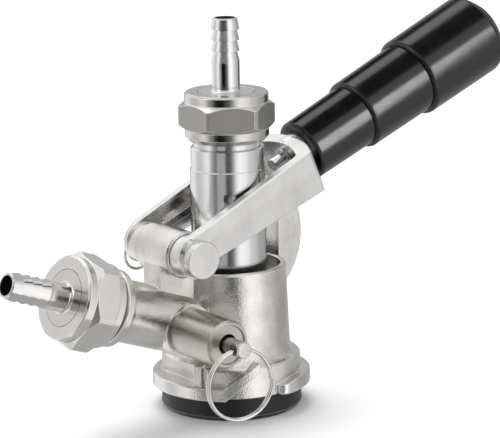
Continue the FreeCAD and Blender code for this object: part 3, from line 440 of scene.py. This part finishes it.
# paper walls round the table: greys by degrees right of the camera, heights in metres
walls = {
    "distance": 1.5, "height": 3.6, "low": -1.4, "sides": 180,
    "fadeLow": (-0.45, -1.0), "fadeHigh": (0.57, 0.75), "farGrey": 0.6,
    "greys": [(-180, 0.55), (-158, 0.55), (-148, 1.1), (-122, 1.1), (-112, 0.9), (-104, 0.75), (-88, 0.8),
              (-74, 1.05), (-64, 1.2), (-56, 0.8), (-48, 0.42), (-38, 0.22), (-28, 0.08), (0, 0.08),
              (10, 0.16), (19, 0.55), (26, 1.1), (36, 1.4), (58, 1.25), (68, 0.95), (78, 0.82), (88, 0.78),
              (97, 0.65), (108, 0.5), (140, 0.45), (156, 0.5), (180, 0.55)],
}


def greyRound(tree):
    # the walls' grey by the angle round the table
    where = addNode(tree, "ShaderNodeTexCoord")
    turned = addNode(tree, "ShaderNodeMapping", {"Rotation": (0, 0, -cameraSide)},
                     {"Vector": where.outputs["Object"]})
    parts = addNode(tree, "ShaderNodeSeparateXYZ", {}, {"Vector": turned.outputs["Vector"]})
    angle = addNode(tree, "ShaderNodeMath", {"operation": "ARCTAN2"},
                    {0: parts.outputs["Y"], 1: parts.outputs["X"]})
    share = addNode(tree, "ShaderNodeMapRange", {"From Min": -math.pi, "From Max": math.pi},
                    {"Value": angle.outputs[0]})
    ramp = addNode(tree, "ShaderNodeValToRGB", {}, {"Fac": share.outputs["Result"]})
    stops = ramp.color_ramp.elements
    for degrees, grey in walls["greys"][1:-1]:
        stops.new((degrees + 180) / 360)
    for stop, (degrees, grey) in zip(stops, walls["greys"]):
        stop.position = (degrees + 180) / 360
        stop.color = plainGrey(grey)
    return ramp.outputs["Color"]


def paperWalls():
    bpy.ops.object.select_all(action="DESELECT")
    bpy.ops.mesh.primitive_cylinder_add(vertices=walls["sides"], radius=walls["distance"],
                                        depth=walls["height"], end_fill_type="NOTHING")
    drum = bpy.context.object
    drum.name = "paperWalls"
    drum.location = (0, 0, walls["low"] + walls["height"] / 2)
    material, tree = newMaterial("greyPaper")
    # far above and far below, the dark papers give way to a lighter grey
    point = addNode(tree, "ShaderNodeNewGeometry")
    height = addNode(tree, "ShaderNodeSeparateXYZ", {}, {"Vector": point.outputs["Position"]})
    far = addNode(tree, "ShaderNodeMath", {"operation": "MAXIMUM"})
    for place, (start, end) in enumerate((walls["fadeLow"], walls["fadeHigh"])):
        fade = addNode(tree, "ShaderNodeMapRange", {"From Min": start, "From Max": end},
                       {"Value": height.outputs["Z"]})
        tree.links.new(fade.outputs["Result"], far.inputs[place])
    shade = addNode(tree, "ShaderNodeMix",
                    {"data_type": "RGBA", "blend_type": "LIGHTEN", 7: plainGrey(walls["farGrey"])},
                    {"Factor": far.outputs[0], 6: greyRound(tree)})
    paper = addNode(tree, "ShaderNodeEmission", {"Strength": 1.0}, {"Color": shade.outputs[2]})
    drum.data.materials.append(finishMaterial(material, tree, paper))
    return drum


# flat papers by degrees from the camera, sizes in metres; a piece left unlit sees its paper as black
cards = {
    "ceilingCard": {"right": 50, "up": 76.5, "distance": 1.1, "size": (0.9, 1.0), "grey": 1.0,
                    "unlit": ["handle_grip", "handle_end_cap", "gas_tailpiece"]},
    "probeCard": {"right": -20, "up": -13, "distance": 1.3, "size": (0.62, 0.9), "grey": 0.5,
                  "unlit": ["beer_tailpiece", "beer_nut"]},
    "forkCard": {"right": -162, "up": 34, "distance": 1.2, "size": (0.5, 0.45), "grey": 1.15,
                 "unlit": ["handle_grip", "handle_end_cap"]},
    "tableCard": {"right": 0, "up": -89, "distance": 1.4, "size": (3.4, 3.4), "grey": 0.5},
}


def paperCard(name, card):
    bpy.ops.object.select_all(action="DESELECT")
    bpy.ops.mesh.primitive_plane_add(size=1)
    sheet = bpy.context.object
    sheet.name = name
    sheet.scale = (*card["size"], 1)
    sheet.location = fromCamera(card["right"], card["up"], card["distance"])
    faceMiddle(sheet)
    material, tree = newMaterial(name + "Paper")
    paper = addNode(tree, "ShaderNodeEmission", {"Color": plainGrey(card["grey"]), "Strength": 1.0})
    sheet.data.materials.append(finishMaterial(material, tree, paper))
    if "unlit" in card:
        seen = [obj for part, obj in nodes.items() if part not in card["unlit"]]
        sheet.light_linking.receiver_collection = collectionOf(name + "Lights", seen)
    return sheet


for sheet in [paperWalls()] + [paperCard(name, card) for name, card in cards.items()]:
    sheet.visible_camera = False
    sheet.visible_diffuse = False
    sheet.visible_transmission = False
    sheet.visible_shadow = False
print("studio lit")


def dress(piece, finish, body):
    piece.data.materials.append(finishes[finish])
    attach(piece, body)


# fine moulding line round the seal, where the two halves of its mould met
mouldLine = {"radius": 22.8, "height": 1.35, "proud": 0.2, "half": 0.16, "sunk": 0.4, "points": 180}


def sealMouldLine():
    bpy.ops.object.select_all(action="DESELECT")
    inside = mouldLine["radius"] - mouldLine["sunk"]
    bpy.ops.mesh.primitive_circle_add(vertices=mouldLine["points"], radius=inside * mm,
                                      location=(0, 0, (mouldLine["height"] - mouldLine["half"]) * mm))
    line = bpy.context.object
    line.name = "sealMouldLine"
    bpy.ops.object.transform_apply(location=True)
    bpy.ops.object.mode_set(mode="EDIT")
    out = (mouldLine["radius"] + mouldLine["proud"]) / inside
    for grow in (out, 1 / out):
        bpy.ops.mesh.extrude_region_move(TRANSFORM_OT_translate={"value": (0, 0, mouldLine["half"] * mm)})
        bpy.ops.transform.resize(value=(grow, grow, 1), center_override=(0, 0, 0))
    # close the ring behind its ridge
    bpy.ops.mesh.select_all(action="SELECT")
    bpy.ops.mesh.remove_doubles(threshold=1e-6)
    bpy.ops.mesh.select_mode(type="EDGE")
    bpy.ops.mesh.select_all(action="DESELECT")
    bpy.ops.mesh.select_non_manifold()
    bpy.ops.mesh.bridge_edge_loops()
    bpy.ops.mesh.select_all(action="SELECT")
    bpy.ops.mesh.normals_make_consistent(inside=False)
    bpy.ops.object.mode_set(mode="OBJECT")
    bpy.ops.object.shade_smooth()
    # the ridge takes the pale painted highlight colour
    dress(line, "seamHighlightRubber", "body")
    return line


sealMouldLine()
print("seal's moulding line made")

# rounded button that closes the pull stem's end beyond its eye
stemButton = {"x": -23.9, "z": 30.0, "inner": -38.05, "outer": -39.0, "radius": 2.55, "round": 0.4,
              "rounds": 5, "points": 64, "smoothBelow": 40}


def stemEndButton():
    bpy.ops.object.select_all(action="DESELECT")
    length = stemButton["inner"] - stemButton["outer"]
    bpy.ops.mesh.primitive_cylinder_add(
        vertices=stemButton["points"], radius=stemButton["radius"] * mm, depth=length * mm,
        location=(stemButton["x"] * mm, (stemButton["outer"] + length / 2) * mm, stemButton["z"] * mm),
        rotation=(math.pi / 2, 0, 0))
    button = bpy.context.object
    button.name = "stemEndButton"
    bpy.ops.object.transform_apply(location=True, rotation=True)
    bpy.ops.object.mode_set(mode="EDIT")
    bpy.ops.mesh.select_mode(type="VERT")
    bpy.ops.mesh.select_all(action="DESELECT")
    bpy.ops.object.mode_set(mode="OBJECT")
    for vertex in button.data.vertices:
        vertex.select = abs(vertex.co.y - stemButton["outer"] * mm) < 1e-6
    bpy.ops.object.mode_set(mode="EDIT")
    bpy.ops.mesh.select_mode(type="EDGE")
    bpy.ops.mesh.bevel(offset=stemButton["round"] * mm, segments=stemButton["rounds"], affect="EDGES")
    bpy.ops.object.mode_set(mode="OBJECT")
    bpy.ops.object.shade_smooth_by_angle(angle=math.radians(stemButton["smoothBelow"]))
    dress(button, "forkNickel", "relief_stem")
    return button


stemEndButton()
print("pull stem's button made")

# a ball sunk wholly in each bayonet lug, behind its nose
noseRoll = {"starts": (92.5, 272.5), "lugRadius": 25.7, "low": 7.2, "radius": 1.75, "onward": 5.0, "in": 1.7,
            "segments": 32, "rings": 16}


def lugNoseRoll(number, start):
    bpy.ops.object.select_all(action="DESELECT")
    bpy.ops.mesh.primitive_uv_sphere_add(segments=noseRoll["segments"], ring_count=noseRoll["rings"],
                                         radius=noseRoll["radius"] * mm)
    roll = bpy.context.object
    roll.name = "lugNoseRoll%d" % number
    bpy.ops.object.mode_set(mode="EDIT")
    bpy.ops.transform.translate(value=(0, noseRoll["onward"] * mm, 0))
    bpy.ops.object.mode_set(mode="OBJECT")
    reach = noseRoll["lugRadius"] - noseRoll["radius"]
    angle = math.radians(start) + noseRoll["in"] / reach
    roll.location = (reach * math.cos(angle) * mm, reach * math.sin(angle) * mm,
                     (noseRoll["low"] + noseRoll["radius"]) * mm)
    roll.rotation_euler = (0, 0, angle + noseRoll["onward"] / 2 / reach)
    bpy.ops.object.transform_apply(location=True, rotation=True)
    bpy.ops.object.shade_smooth()
    dress(roll, "castNickel", "body")
    return roll


for number, start in enumerate(noseRoll["starts"], 1):
    lugNoseRoll(number, start)
print("balls set in the lugs")
